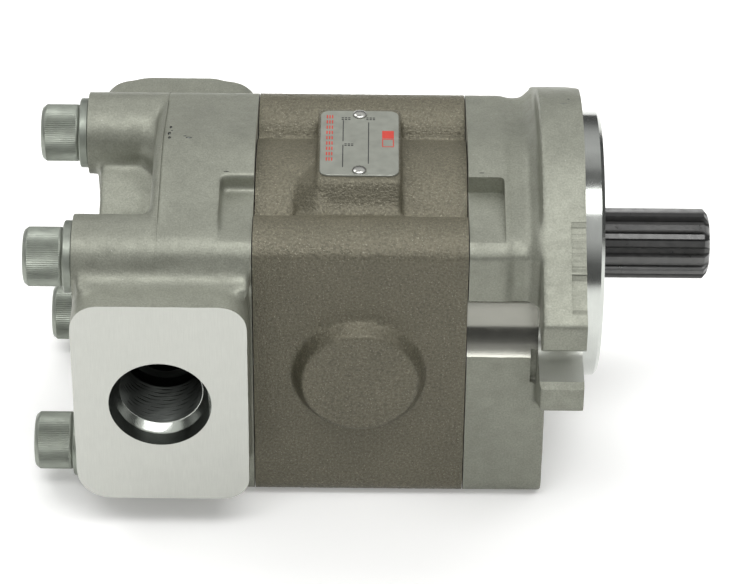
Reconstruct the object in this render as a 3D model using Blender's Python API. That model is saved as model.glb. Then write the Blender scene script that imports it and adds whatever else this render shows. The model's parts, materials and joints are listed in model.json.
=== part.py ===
"""Hydraulic gear pump with a two-bolt flange, a splined drive shaft and side ports in its rear cover.

Metres, +Z up. The pump stands on its flat base, +X runs along the drive shaft towards its splined end, and
-Y is the suction side. The origin is the middle of the base, halfway between the bolt heads and the end of the
shaft.
"""

import math

import bmesh
import bpy

MM = 0.001

# Driving dimensions
SHAFT_Z = 67 * MM  # height of the drive shaft over the base
CENTRE_DISTANCE = 37 * MM  # between the two gears
DRIVEN_Z = SHAFT_Z - CENTRE_DISTANCE
MIDDLE_Z = SHAFT_Z - CENTRE_DISTANCE / 2
MOUNT_X = 63.5 * MM  # the flange's mounting face
SHAFT_END_X = MOUNT_X + 41.1 * MM
PILOT_END_X = MOUNT_X + 6.35 * MM
PILOT_RADIUS = 41.275 * MM
FLANGE_BACK_X = MOUNT_X - 13.3 * MM
FRONT_JOINT_X = MOUNT_X - 34.5 * MM
REAR_JOINT_X = FRONT_JOINT_X - 65 * MM
REAR_SLAB_X = REAR_JOINT_X - 32 * MM
COLUMN_END_X = REAR_JOINT_X - 53.6 * MM
JOINT_GAP = 0.1 * MM  # between two parts that are bolted together
FIT_GAP = 0.15 * MM  # round a pin, ring or seal in its hole

# Casting outlines, as seen along the shaft
SIDE_Y = 44 * MM
LOBE_RADIUS = 13 * MM  # round each of the two upper bolts
FOOT_RADIUS = 5 * MM
HOUSING_ARCH = 31.5 * MM  # the housing's back over the drive gear
COVER_ARCH = 36 * MM
BOLT_Y = 33.5 * MM
BOLT_RISE = 17 * MM  # of the upper bolts over the drive shaft, and of the lower ones under the driven gear
UPPER_BOLT_Z = SHAFT_Z + BOLT_RISE
LOWER_BOLT_Z = DRIVEN_Z - BOLT_RISE
BOLT_PLACES = [(y, z) for z in (UPPER_BOLT_Z, LOWER_BOLT_Z) for y in (-BOLT_Y, BOLT_Y)]

# Mounting flange
EAR_Y = 65 * MM
EAR_HALF = 16 * MM
EAR_CORNER = 1 * MM
FLANGE_RADIUS = 48 * MM
SLOT_Y = 53.2 * MM
SLOT_RADIUS = 5.75 * MM

# Ports
PORT_X = MOUNT_X - 126.9 * MM
INLET_FACE_Y = -60 * MM
OUTLET_FACE_Y = 63 * MM
PORT_BLOCK_LOW_X = COLUMN_END_X
PORT_BLOCK_HIGH_X = REAR_JOINT_X - 0.9 * MM
PORT_BLOCK_LOW_Z = MIDDLE_Z - 36.6 * MM
PORT_BLOCK_HIGH_Z = MIDDLE_Z + 36.6 * MM
PORT_INNER_Y = 8 * MM
GALLERY_Y = 16 * MM
GALLERY_RADIUS = 7.5 * MM

# Gears and bearings
TEETH = 12
GEAR_MODULE = CENTRE_DISTANCE / TEETH
GEAR_HALF_WIDTH = 15 * MM
GEAR_MIDDLE_X = (FRONT_JOINT_X + REAR_JOINT_X) / 2
GEAR_OUTER = CENTRE_DISTANCE / 2 + GEAR_MODULE
GEAR_BORE = GEAR_OUTER + 0.12 * MM
JOURNAL_RADIUS = 11 * MM
BUSH_RADIUS = 12.5 * MM
BLOCK_RADIUS = GEAR_BORE - FIT_GAP
BLOCK_INNER = GEAR_HALF_WIDTH + JOINT_GAP  # from the gears' middle to a block's face
BLOCK_OUTER = (FRONT_JOINT_X - REAR_JOINT_X) / 2 - 3 * JOINT_GAP
SHAFT_REAR_X = REAR_JOINT_X + 0.8 * MM
DRIVEN_FRONT_X = FRONT_JOINT_X - 0.8 * MM
SPLINE_TEETH = 13
SPLINE_MODULE = 25.4 * MM / 16

# Shaft seal, open to the mounting side
SEAL_BORE = 20 * MM
SEAL_BORE_X = MOUNT_X - 4 * MM
SEAL_WIDTH = 7 * MM
SHAFT_HOLE = 11.6 * MM
CIRCLIP_X = MOUNT_X + 3.4 * MM
CIRCLIP_WIDTH = 1.5 * MM

# Fasteners
BOLT_RADIUS = 6 * MM
BOLT_HOLE_RADIUS = 6.6 * MM
BOLT_HEAD_RADIUS = 9 * MM
BOLT_HEAD_LENGTH = 12 * MM
BOLT_SHANK_LENGTH = 138 * MM
SOCKET_HALF = 5 * MM
WASHER_RADIUS = 11 * MM
WASHER_WIDTH = 3 * MM
DOWEL_Y = 36 * MM
DOWEL_RADIUS = 3 * MM
DOWEL_HALF = 6 * MM

# Nameplate and the pad that it lies on
PAD_LOW_X = MOUNT_X - 80.5 * MM
PAD_HIGH_X = MOUNT_X - 54.8 * MM
PAD_HALF_Y = 19.5 * MM
PAD_TOP_Z = SHAFT_Z + 36 * MM
PLATE_HALF_X = 12 * MM
PLATE_HALF_Y = 17.6 * MM
PLATE_THICKNESS = 0.7 * MM
PLATE_X = (PAD_LOW_X + PAD_HIGH_X) / 2
RIVET_Y = 15.2 * MM

# Joint seals
SEAL_LOOP = 26 * MM  # from a gear's centre to the middle of the seal
SEAL_SECTION = 1 * MM
GROOVE_HALF = 1.6 * MM
GROOVE_DEPTH = 2.2 * MM

CAST = {"colour": (0.50, 0.50, 0.46), "roughness": 0.55, "metallic": 0.8}
HOUSING = {"colour": (0.19, 0.17, 0.13), "roughness": 0.7, "metallic": 0.3}
STEEL = {"colour": (0.30, 0.30, 0.30), "roughness": 0.3, "metallic": 1.0}
ZINC = {"colour": (0.55, 0.57, 0.56), "roughness": 0.4, "metallic": 0.9}
BRONZE = {"colour": (0.55, 0.38, 0.20), "roughness": 0.35, "metallic": 1.0}
RUBBER = {"colour": (0.02, 0.02, 0.02), "roughness": 0.6, "metallic": 0.0}
NYLON = {"colour": (0.75, 0.72, 0.62), "roughness": 0.5, "metallic": 0.0}
PLATE = {"colour": (0.62, 0.63, 0.62), "roughness": 0.35, "metallic": 0.7}


def clear_scene():
    for old in list(bpy.data.objects):
        bpy.data.objects.remove(old)


# Outlines: lists of points in a plane


def arc(centre, radius, start, end, steps):
    """Points round a centre between two angles in degrees, both included."""
    angles = [math.radians(start + (end - start) * i / steps) for i in range(steps + 1)]
    return [(centre[0] + radius * math.cos(a), centre[1] + radius * math.sin(a)) for a in angles]


def rectangle(low, high):
    return [low, (high[0], low[1]), high, (low[0], high[1])]


def circle(centre, radius, steps):
    return arc(centre, radius, 0, 360 * (steps - 1) / steps, steps - 1)


def mirrored(points):
    """The outline's other half, across the first axis's zero, in the order that closes it."""
    return [(-a, b) for a, b in reversed(points)]


def rounded_rectangle(low, high, radii, steps=4):
    """Corner radii in the order low-low, high-low, high-high, low-high."""
    corners = [
        ((low[0] + radii[0], low[1] + radii[0]), radii[0], 180),
        ((high[0] - radii[1], low[1] + radii[1]), radii[1], 270),
        ((high[0] - radii[2], high[1] - radii[2]), radii[2], 0),
        ((low[0] + radii[3], high[1] - radii[3]), radii[3], 90),
    ]
    return [p for centre, radius, start in corners for p in arc(centre, radius, start, start + 90, steps)]


def meeting_angles(near, near_radius, far, far_radius):
    """The angle on each of two circles, in degrees, where they cross on the second axis's high side."""
    dy, dz = far[0] - near[0], far[1] - near[1]
    apart = math.hypot(dy, dz)
    along = (near_radius**2 - far_radius**2 + apart**2) / (2 * apart)
    up = math.sqrt(near_radius**2 - along**2)
    y = near[0] + (along * dy - up * dz) / apart
    z = near[1] + (along * dz + up * dy) / apart
    on_near = math.degrees(math.atan2(z - near[1], y - near[0]))
    on_far = math.degrees(math.atan2(z - far[1], y - far[0]))
    return on_near, on_far


def tangent_angle(near, near_radius, far, far_radius):
    """The angle, on both circles, at which one straight line lies on them. Degrees."""
    dy, dz = far[0] - near[0], far[1] - near[1]
    lean = math.acos((near_radius - far_radius) / math.hypot(dy, dz))
    return math.degrees(math.atan2(dz, dy) + lean)


def foot_corner(side):
    """The lower corner of a casting on the +Y side."""
    return arc((side - FOOT_RADIUS, FOOT_RADIUS), FOOT_RADIUS, 270, 360, 4)


def side_angle(side, radius):
    """Where an upper bolt's lobe meets the casting's flat side."""
    return math.degrees(math.acos((side - BOLT_Y) / radius))


def housing_outline():
    """The gear housing, whose back drops to a valley between the arch and each bolt lobe."""
    shaft, lobe = (0, SHAFT_Z), (BOLT_Y, UPPER_BOLT_Z)
    on_arch, on_lobe = meeting_angles(shaft, HOUSING_ARCH, lobe, LOBE_RADIUS)
    half = foot_corner(SIDE_Y) + arc(lobe, LOBE_RADIUS, side_angle(SIDE_Y, LOBE_RADIUS), on_lobe, 8)
    half += arc(shaft, HOUSING_ARCH, on_arch, 90, 6)[1:]
    return half + mirrored(half[:-1])


def cover_outline(inset=0):
    """A cover, whose back runs straight from the arch to each bolt lobe. The inset spares its base."""
    shaft, lobe, side = (0, SHAFT_Z), (BOLT_Y, UPPER_BOLT_Z), SIDE_Y - inset
    arch_radius, lobe_radius = COVER_ARCH - inset, LOBE_RADIUS - inset
    touching = tangent_angle(shaft, arch_radius, lobe, lobe_radius)
    half = foot_corner(side) + arc(lobe, lobe_radius, side_angle(side, lobe_radius), touching, 5)
    half += arc(shaft, arch_radius, touching, 90, 2)
    return half + mirrored(half[:-1])


def flange_outline():
    """A round flange drawn out to an ear on each side."""
    corner = (EAR_Y - EAR_CORNER, SHAFT_Z + EAR_HALF - EAR_CORNER)
    touching = tangent_angle((0, SHAFT_Z), FLANGE_RADIUS, corner, EAR_CORNER)
    upper = arc(corner, EAR_CORNER, 0, touching, 3) + arc((0, SHAFT_Z), FLANGE_RADIUS, touching, 90, 6)
    quarter = [(y, z - SHAFT_Z) for y, z in upper]
    upper_half = quarter + mirrored(quarter[:-1])
    lower_half = [(-y, -z) for y, z in upper_half]
    return [(y, z + SHAFT_Z) for y, z in upper_half + lower_half]


def figure_eight(radius, steps=20):
    """The outline round both gears."""
    reach = math.degrees(math.asin(CENTRE_DISTANCE / 2 / radius))
    return arc((0, SHAFT_Z), radius, -reach, 180 + reach, steps) + arc(
        (0, DRIVEN_Z), radius, 180 - reach, 360 + reach, steps
    )


def stadium(radius, steps=12):
    """A loop at one distance outside the line between the two gear centres."""
    return arc((0, SHAFT_Z), radius, 0, 180, steps) + arc((0, DRIVEN_Z), radius, 180, 360, steps)


def half_eight_ribbon(inner, outer):
    """The strip between two figure eights on the suction side, which is the shape of a pressure seal."""
    outer_reach = math.degrees(math.asin(CENTRE_DISTANCE / 2 / outer))
    outside = arc((0, SHAFT_Z), outer, 90, 180 + outer_reach, 10)
    outside += arc((0, DRIVEN_Z), outer, 180 - outer_reach, 270, 10)[1:]
    inside = arc((0, DRIVEN_Z), inner, 270, 90, 12) + arc((0, SHAFT_Z), inner, 270, 90, 12)
    return outside + inside


def toothed_outline(teeth, module, pressure, outer, root, thinning, turn):
    """Involute teeth round the origin. One tooth's middle is at the angle turn, in degrees."""
    pitch = teeth * module / 2
    base = pitch * math.cos(math.radians(pressure))
    flank_radii = [max(root, base) + (outer - max(root, base)) * i / 4 for i in range(5)]
    if root < base:
        flank_radii.insert(0, root)

    def involute(angle):
        return math.tan(angle) - angle

    def half_angle(radius):
        here = math.acos(min(1, base / radius))
        at_pitch = (math.pi * module / 2 - thinning) / (2 * pitch)
        return at_pitch + involute(math.radians(pressure)) - involute(here)

    points = []
    for tooth in range(teeth):
        middle = math.radians(turn) + 2 * math.pi * tooth / teeth
        rising = [(radius, middle - half_angle(radius)) for radius in flank_radii]
        falling = [(radius, middle + half_angle(radius)) for radius in reversed(flank_radii)]
        points += [(r * math.cos(a), r * math.sin(a)) for r, a in rising + falling]
    return points


# Shapes, added to a bmesh


def in_space(axis, along, a, b):
    """A point at this distance along the axis, and at (a, b) in the plane across it, in X, Y, Z order."""
    return {"X": (along, a, b), "Y": (a, along, b), "Z": (a, b, along)}[axis]


def add_loft(bm, sections, axis="X"):
    """A solid through outlines with as many points each, given as (distance, outline)."""
    rings = []
    for along, outline in sections:
        rings.append([bm.verts.new(in_space(axis, along, a, b)) for a, b in outline])
    for near, far in zip(rings, rings[1:]):
        for i in range(len(near)):
            bm.faces.new((near[i - 1], near[i], far[i], far[i - 1]))
    bm.faces.new(rings[0])
    bm.faces.new(rings[-1])


def add_prism(bm, outline, low, high, axis="X"):
    add_loft(bm, [(low, outline), (high, outline)], axis)


def add_loop(bm, loops, axis="X"):
    """A ring-shaped solid. Each loop runs round the ring once, and the loops run round its section."""
    rings = [[bm.verts.new(in_space(axis, along, a, b)) for a, b in outline] for along, outline in loops]
    for k in range(len(rings)):
        near, far = rings[k - 1], rings[k]
        for i in range(len(near)):
            bm.faces.new((near[i - 1], near[i], far[i], far[i - 1]))


def add_turned(bm, profile, centre=(0, 0), steps=32, axis="X"):
    """A turned solid. The profile is (distance, radius), and its two ends are flat discs."""
    add_loft(bm, [(along, circle(centre, radius, steps)) for along, radius in profile], axis)


def add_ring(bm, profile, centre=(0, 0), steps=32, axis="X"):
    """A turned ring. The profile is the closed section, as (distance, radius)."""
    add_loop(bm, [(along, circle(centre, radius, steps)) for along, radius in profile], axis)


def mesh_of(name, shapes):
    """A mesh from functions that each add a shape."""
    bm = bmesh.new()
    for shape in shapes:
        shape(bm)
    bmesh.ops.recalc_face_normals(bm, faces=bm.faces)
    mesh = bpy.data.meshes.new(name)
    bm.to_mesh(mesh)
    bm.free()
    return mesh


# Objects


def material_of(name, finish):
    known = bpy.data.materials.get(name)
    if known:
        return known
    made = bpy.data.materials.new(name)
    made.use_nodes = True
    shader = made.node_tree.nodes["Principled BSDF"]
    shader.inputs["Base Color"].default_value = (*finish["colour"], 1)
    shader.inputs["Roughness"].default_value = finish["roughness"]
    shader.inputs["Metallic"].default_value = finish["metallic"]
    return made


def add_part(name, mesh, finish_name, finish, at=(0, 0, 0)):
    """A visible piece, whose origin is at the given place."""
    part = bpy.data.objects.new(name, mesh)
    part.location = at
    if not mesh.materials:
        mesh.materials.append(material_of(finish_name, finish))
        mesh.shade_smooth()
        mesh.set_sharp_from_angle(angle=math.radians(35))
    bpy.context.scene.collection.objects.link(part)
    return part


def combine(part, operation, name, *shapes):
    """Cuts the shapes from the part, or joins them to it, with a hidden tool."""
    tool = bpy.data.objects.new(name, mesh_of(name, shapes))
    tool.hide_render = True
    tool.display_type = "WIRE"
    bpy.context.scene.collection.objects.link(tool)
    modifier = part.modifiers.new(name, "BOOLEAN")
    modifier.operation = operation
    modifier.object = tool
    return tool


def cut(part, name, *shapes):
    return combine(part, "DIFFERENCE", name, *shapes)


def join(part, name, *shapes):
    return combine(part, "UNION", name, *shapes)


# Features that more than one casting has


def prism_shape(outline, low, high, axis="X"):
    return lambda bm: add_prism(bm, outline, low, high, axis)


def turned_shape(profile, centre=(0, 0), steps=32, axis="X"):
    return lambda bm: add_turned(bm, profile, centre, steps, axis)


def hole_shapes(places, radius, low, high, steps=20):
    return [turned_shape([(low, radius), (high, radius)], place, steps) for place in places]


def dowel_places():
    return [(y, MIDDLE_Z) for y in (-DOWEL_Y, DOWEL_Y)]


def cut_dowel_holes(part, joint_x):
    depth = DOWEL_HALF + 0.5 * MM
    shapes = hole_shapes(dowel_places(), DOWEL_RADIUS + FIT_GAP, joint_x - depth, joint_x + depth, 12)
    cut(part, f"{part.name}_dowel_holes", *shapes)


def cut_seal_groove(part, joint_x, side):
    """A racetrack groove in a cover's joint face. Side is +1 where the cover lies on +X of the joint."""
    bottom = joint_x + side * GROOVE_DEPTH
    mouth = joint_x - side * 1 * MM
    outer, inner = stadium(SEAL_LOOP + GROOVE_HALF), stadium(SEAL_LOOP - GROOVE_HALF)
    loops = [(bottom, outer), (mouth, outer), (mouth, inner), (bottom, inner)]
    cut(part, f"{part.name}_seal_groove", lambda bm: add_loop(bm, loops))


def cut_back_pocket(part, low, high):
    """The cast pocket in a cover's back, next to the joint."""
    front_y, rear_y, floor_z, above = -50 * MM, -14 * MM, SHAFT_Z + 28.3 * MM, 20 * MM
    outline = rectangle((front_y, floor_z), (rear_y, floor_z + above))
    cut(part, f"{part.name}_pocket", prism_shape(outline, low, high))


# Castings


def make_front_cover():
    rim_x = FRONT_JOINT_X + 12 * MM
    waist_end = FLANGE_BACK_X + 2 * MM
    block_end = MOUNT_X - 10 * MM
    block_top = SHAFT_Z - 11.4 * MM
    cover = add_part(
        "front_cover",
        mesh_of("front_cover", [prism_shape(cover_outline(), FRONT_JOINT_X, rim_x)]),
        "cast_aluminium",
        CAST,
    )
    join(cover, "cover_waist", prism_shape(cover_outline(1 * MM), rim_x - 1 * MM, waist_end))
    block = rounded_rectangle(
        (-SIDE_Y, 0), (SIDE_Y, block_top), (FOOT_RADIUS, FOOT_RADIUS, 1 * MM, 1 * MM)
    )
    join(cover, "cover_lower_block", prism_shape(block, rim_x - 1 * MM, block_end))
    join(cover, "mounting_flange", prism_shape(flange_outline(), FLANGE_BACK_X, MOUNT_X))
    chamfer = 1 * MM
    pilot = [
        (MOUNT_X - 2 * MM, PILOT_RADIUS),
        (PILOT_END_X - chamfer, PILOT_RADIUS),
        (PILOT_END_X, PILOT_RADIUS - chamfer),
    ]
    join(cover, "pilot", turned_shape(pilot, (0, SHAFT_Z), 64))
    cut_mounting_slots(cover)
    cut(cover, "mounting_bolt_channels", *channel_shapes())
    cut_back_pocket(cover, FRONT_JOINT_X - 1 * MM, FRONT_JOINT_X + 10.8 * MM)
    cut_shaft_passage(cover)
    low, high = FRONT_JOINT_X - 1 * MM, block_end - 2 * MM
    cut(cover, "bolt_threads", *hole_shapes(BOLT_PLACES, BOLT_HOLE_RADIUS, low, high))
    cut_dowel_holes(cover, FRONT_JOINT_X)
    cut_seal_groove(cover, FRONT_JOINT_X, 1)


def channel_shapes():
    """The channels that give a mounting bolt's head room beside the cover."""
    radius, drop = 12.4 * MM, 3 * MM
    shapes = []
    for y in (-SLOT_Y, SLOT_Y):
        outline = arc((y, SHAFT_Z), radius, 0, 180, 20) + arc((y, SHAFT_Z - drop), radius, 180, 360, 20)
        shapes.append(prism_shape(outline, FRONT_JOINT_X - 1 * MM, FLANGE_BACK_X))
    return shapes


def cut_mounting_slots(cover):
    """An open slot in each ear, with a bevelled mouth."""
    past = EAR_Y + 2 * MM
    mouth_half = 7.5 * MM
    bevel = mouth_half - SLOT_RADIUS
    half = [(past, mouth_half + 2 * MM), (EAR_Y - bevel, SLOT_RADIUS)]
    half += arc((SLOT_Y, 0), SLOT_RADIUS, 90, 180, 6)
    outline = half + [(y, -z) for y, z in reversed(half[:-1])]
    for name, side in (("front_slot", -1), ("rear_slot", 1)):
        placed = [(side * y, SHAFT_Z + z) for y, z in outline]
        cut(cover, name, prism_shape(placed, FLANGE_BACK_X - 1 * MM, MOUNT_X + 1 * MM))


def cut_shaft_passage(cover):
    """The bore for the seal, its circlip groove, and the hole behind it for the shaft."""
    groove = SEAL_BORE + 1.3 * MM
    profile = [
        (FRONT_JOINT_X - 1 * MM, SHAFT_HOLE),
        (SEAL_BORE_X, SHAFT_HOLE),
        (SEAL_BORE_X, SEAL_BORE),
        (CIRCLIP_X - FIT_GAP, SEAL_BORE),
        (CIRCLIP_X - FIT_GAP, groove),
        (CIRCLIP_X + CIRCLIP_WIDTH + FIT_GAP, groove),
        (CIRCLIP_X + CIRCLIP_WIDTH + FIT_GAP, SEAL_BORE),
        (PILOT_END_X + 1 * MM, SEAL_BORE),
    ]
    cut(cover, "shaft_passage", turned_shape(profile, (0, SHAFT_Z), 40))


def make_gear_housing():
    low, high = REAR_JOINT_X + JOINT_GAP, FRONT_JOINT_X - JOINT_GAP
    body = mesh_of("gear_housing", [prism_shape(housing_outline(), low, high)])
    housing = add_part("gear_housing", body, "cast_iron", HOUSING)
    join(housing, "nameplate_pad", prism_shape(nameplate_pad_outline(), PAD_LOW_X, PAD_HIGH_X))
    join(housing, "pad_buttress", add_pad_buttress)
    base_radius, face_radius, height = 18.6 * MM, 16.9 * MM, 5 * MM
    for name, side in (("front_blank_boss", -1), ("rear_blank_boss", 1)):
        profile = [(side * (SIDE_Y - 3 * MM), base_radius), (side * SIDE_Y, base_radius)]
        profile.append((side * (SIDE_Y + height), face_radius))
        join(housing, name, turned_shape(profile, (GEAR_MIDDLE_X, MIDDLE_Z), 40, "Y"))
    past = 1 * MM
    cut(housing, "gear_bores", prism_shape(figure_eight(GEAR_BORE, 28), low - past, high + past))
    cut_side_chambers(housing, low - past)
    cut(housing, "bolt_holes", *hole_shapes(BOLT_PLACES, BOLT_HOLE_RADIUS, low - past, high + past))
    for name, start, end in (
        ("front_dowel_holes", high - 6.5 * MM, high + past),
        ("rear_dowel_holes", low - past, low + 6.5 * MM),
    ):
        cut(housing, name, *hole_shapes(dowel_places(), DOWEL_RADIUS + FIT_GAP, start, end, 12))


def nameplate_pad_outline():
    """The pad across the arch, and the lower shelf that ties it to the bolt lobes."""
    shelf_y, shelf_z, under_z = 28.6 * MM, SHAFT_Z + 27.8 * MM, SHAFT_Z + 24 * MM
    half = [(PAD_HALF_Y, PAD_TOP_Z), (PAD_HALF_Y + 0.4 * MM, shelf_z)]
    half += [(shelf_y, shelf_z), (shelf_y, under_z)]
    return mirrored(half) + half


def add_pad_buttress(bm):
    """The sloping rib at the pad's rear front corner."""
    foot_x, root_x = PAD_LOW_X - 8 * MM, PAD_LOW_X + 2 * MM
    corners = [
        (root_x, -18.9 * MM, PAD_TOP_Z - 0.6 * MM),
        (root_x, -5 * MM, PAD_TOP_Z - 2 * MM),
        (PAD_LOW_X, -18.9 * MM, PAD_TOP_Z - 0.8 * MM),
        (PAD_LOW_X, -5 * MM, PAD_TOP_Z - 4 * MM),
        (foot_x, -11 * MM, SHAFT_Z + 28.6 * MM),
        (foot_x + 2 * MM, -23 * MM, SHAFT_Z + 25.5 * MM),
        (PAD_LOW_X, -27 * MM, SHAFT_Z + 27.2 * MM),
        (root_x, -27 * MM, SHAFT_Z + 27.2 * MM),
        (foot_x, -11 * MM, SHAFT_Z + 24 * MM),
        (foot_x + 2 * MM, -21 * MM, SHAFT_Z + 20 * MM),
        (root_x, -5 * MM, SHAFT_Z + 24 * MM),
        (root_x, -25 * MM, SHAFT_Z + 20 * MM),
    ]
    corners = [bm.verts.new(c) for c in corners]
    hull = bmesh.ops.convex_hull(bm, input=corners)
    inside = [g for g in hull["geom_interior"] if isinstance(g, bmesh.types.BMVert)]
    bmesh.ops.delete(bm, geom=inside, context="VERTS")


def cut_side_chambers(housing, low):
    """The room beside the mesh where oil enters and leaves the gears, open to the rear joint."""
    high = GEAR_MIDDLE_X + GEAR_HALF_WIDTH
    inner, outer, half = 6 * MM, 24 * MM, 8.5 * MM
    for name, side in (("suction_chamber", -1), ("pressure_chamber", 1)):
        corner_a, corner_b = sorted((side * inner, side * outer))
        low_corner, high_corner = (corner_a, MIDDLE_Z - half), (corner_b, MIDDLE_Z + half)
        outline = rounded_rectangle(low_corner, high_corner, [3 * MM] * 4, 3)
        cut(housing, name, prism_shape(outline, low, high))


def make_rear_cover():
    cover = add_part(
        "rear_cover",
        mesh_of("rear_cover", [prism_shape(cover_outline(), REAR_SLAB_X, REAR_JOINT_X)]),
        "cast_aluminium",
        CAST,
    )
    join(
        cover,
        "bolt_columns",
        *hole_shapes(BOLT_PLACES, LOBE_RADIUS, COLUMN_END_X, REAR_SLAB_X + 2 * MM, 32),
    )
    web_low_x, web_top, web_bottom = COLUMN_END_X + 4 * MM, SHAFT_Z + 4.5 * MM, MIDDLE_Z - 23 * MM
    web = rounded_rectangle((-34 * MM, web_bottom), (34 * MM, web_top), [3 * MM] * 4, 3)
    join(cover, "port_web", prism_shape(web, web_low_x, REAR_SLAB_X + 2 * MM))
    block = rounded_rectangle(
        (PORT_BLOCK_LOW_X, PORT_BLOCK_LOW_Z),
        (PORT_BLOCK_HIGH_X, PORT_BLOCK_HIGH_Z),
        (10 * MM, 6 * MM, 7.5 * MM, 7.5 * MM),
        5,
    )
    join(cover, "inlet_block", prism_shape(block, INLET_FACE_Y, -30 * MM, "Y"))
    narrow = rounded_rectangle(
        (PORT_BLOCK_LOW_X + 2 * MM, PORT_BLOCK_LOW_Z + 0.3 * MM),
        (PORT_BLOCK_HIGH_X - 0.3 * MM, PORT_BLOCK_HIGH_Z - 0.3 * MM),
        [8 * MM] * 4,
        5,
    )
    join(cover, "outlet_block", prism_shape(narrow, 30 * MM, OUTLET_FACE_Y, "Y"))
    cut_port(cover, "inlet_port", -1, INLET_FACE_Y, 15.5 * MM, 12.7 * MM)
    cut_port(cover, "outlet_port", 1, OUTLET_FACE_Y, 12.9 * MM, 10.4 * MM)
    for name, side in (("inlet_gallery", -1), ("outlet_gallery", 1)):
        profile = [(PORT_X, GALLERY_RADIUS), (REAR_JOINT_X + 1 * MM, GALLERY_RADIUS)]
        cut(cover, name, turned_shape(profile, (side * GALLERY_Y, MIDDLE_Z), 20))
    cut_back_pocket(cover, REAR_JOINT_X - 10 * MM, REAR_JOINT_X + 1 * MM)
    cut(
        cover,
        "rear_bolt_holes",
        *hole_shapes(BOLT_PLACES, BOLT_HOLE_RADIUS, COLUMN_END_X - 1 * MM, REAR_JOINT_X + 1 * MM),
    )
    cut_dowel_holes(cover, REAR_JOINT_X)
    cut_seal_groove(cover, REAR_JOINT_X, -1)


def cut_port(cover, name, side, face_y, mouth_radius, thread_radius):
    """A port with a bevelled mouth for an O-ring, a threaded length and a narrower drilling."""
    bevel_depth, thread_depth, drill_radius = 3.3 * MM, 28 * MM, 8.6 * MM
    past = 0.5 * MM
    profile = [
        (face_y + side * past, mouth_radius + 0.4 * MM),
        (face_y - side * bevel_depth, thread_radius + 0.8 * MM),
        (face_y - side * bevel_depth, thread_radius),
        (face_y - side * thread_depth, thread_radius),
        (face_y - side * (thread_depth + 3 * MM), drill_radius),
        (side * PORT_INNER_Y, drill_radius),
    ]
    cut(cover, name, turned_shape(profile, (PORT_X, MIDDLE_Z), 40, "Y"))


# Gears, blocks and bushes


def gear_outline(turn):
    root = CENTRE_DISTANCE / 2 - 1.2 * GEAR_MODULE
    return toothed_outline(TEETH, GEAR_MODULE, 25, GEAR_OUTER, root, 0.25 * MM, turn)


def make_drive_gear_shaft():
    """The driving gear, its journals and the splined end, all one piece with its origin on its axis."""
    neck_x = PILOT_END_X + 1.2 * MM
    taper = 1 * MM
    journals = [
        (SHAFT_REAR_X, JOURNAL_RADIUS - taper),
        (SHAFT_REAR_X + taper, JOURNAL_RADIUS),
        (neck_x - taper, JOURNAL_RADIUS),
        (neck_x, JOURNAL_RADIUS - taper),
    ]
    shaft = add_part(
        "drive_gear_shaft",
        mesh_of("drive_gear_shaft", [turned_shape(journals)]),
        "gear_steel",
        STEEL,
        (0, 0, SHAFT_Z),
    )
    low, high = GEAR_MIDDLE_X - GEAR_HALF_WIDTH, GEAR_MIDDLE_X + GEAR_HALF_WIDTH
    join(shaft, "drive_teeth", prism_shape(gear_outline(-90), low, high)).location = shaft.location
    outer, root = 10.9 * MM, 9.35 * MM
    low_outer, low_root = root + 0.25 * MM, root - 0.2 * MM
    full = toothed_outline(SPLINE_TEETH, SPLINE_MODULE, 30, outer, root, 0.1 * MM, 90)
    tapered = toothed_outline(SPLINE_TEETH, SPLINE_MODULE, 30, low_outer, low_root, 0.1 * MM, 90)
    bevel = 1.4 * MM
    sections = [(neck_x - 3 * MM, full), (SHAFT_END_X - bevel, full), (SHAFT_END_X, tapered)]
    join(shaft, "spline", lambda bm: add_loft(bm, sections)).location = shaft.location
    centre_drill = [
        (SHAFT_END_X + 1 * MM, 3.9 * MM),
        (SHAFT_END_X - 2 * MM, 1.4 * MM),
        (SHAFT_END_X - 6 * MM, 1.4 * MM),
    ]
    cut(shaft, "centre_drilling", turned_shape(centre_drill, steps=16)).location = shaft.location


def make_driven_gear_shaft():
    """The driven gear with its two journals. Its teeth stand half a pitch round from the drive gear's."""
    taper = 1 * MM
    journals = [
        (SHAFT_REAR_X, JOURNAL_RADIUS - taper),
        (SHAFT_REAR_X + taper, JOURNAL_RADIUS),
        (DRIVEN_FRONT_X - taper, JOURNAL_RADIUS),
        (DRIVEN_FRONT_X, JOURNAL_RADIUS - taper),
    ]
    shaft = add_part(
        "driven_gear_shaft",
        mesh_of("driven_gear_shaft", [turned_shape(journals)]),
        "gear_steel",
        STEEL,
        (0, 0, DRIVEN_Z),
    )
    low, high = GEAR_MIDDLE_X - GEAR_HALF_WIDTH, GEAR_MIDDLE_X + GEAR_HALF_WIDTH
    teeth = prism_shape(gear_outline(90 + 180 / TEETH), low, high)
    join(shaft, "driven_teeth", teeth).location = shaft.location


def block_span(side):
    """The low and high X of the front (+1) or rear (-1) bearing block."""
    return sorted((GEAR_MIDDLE_X + side * BLOCK_INNER, GEAR_MIDDLE_X + side * BLOCK_OUTER))


def make_bearing_block(name, side):
    """The floating block that carries both journals and seals the gears' side faces."""
    low, high = block_span(side)
    mesh = mesh_of(name, [prism_shape(figure_eight(BLOCK_RADIUS), low, high)])
    block = add_part(name, mesh, "bearing_aluminium", CAST)
    places = [(0, SHAFT_Z), (0, DRIVEN_Z)]
    bores = hole_shapes(places, BUSH_RADIUS + FIT_GAP, low - 1 * MM, high + 1 * MM, 32)
    cut(block, f"{name}_bores", *bores)
    face = GEAR_MIDDLE_X + side * BLOCK_OUTER
    ribbon = half_eight_ribbon(17.75 * MM, 20.05 * MM)
    bottom, mouth = sorted((face - side * 1.8 * MM, face + side * 1 * MM))
    cut(block, f"{name}_seal_groove", prism_shape(ribbon, bottom, mouth))


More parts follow.
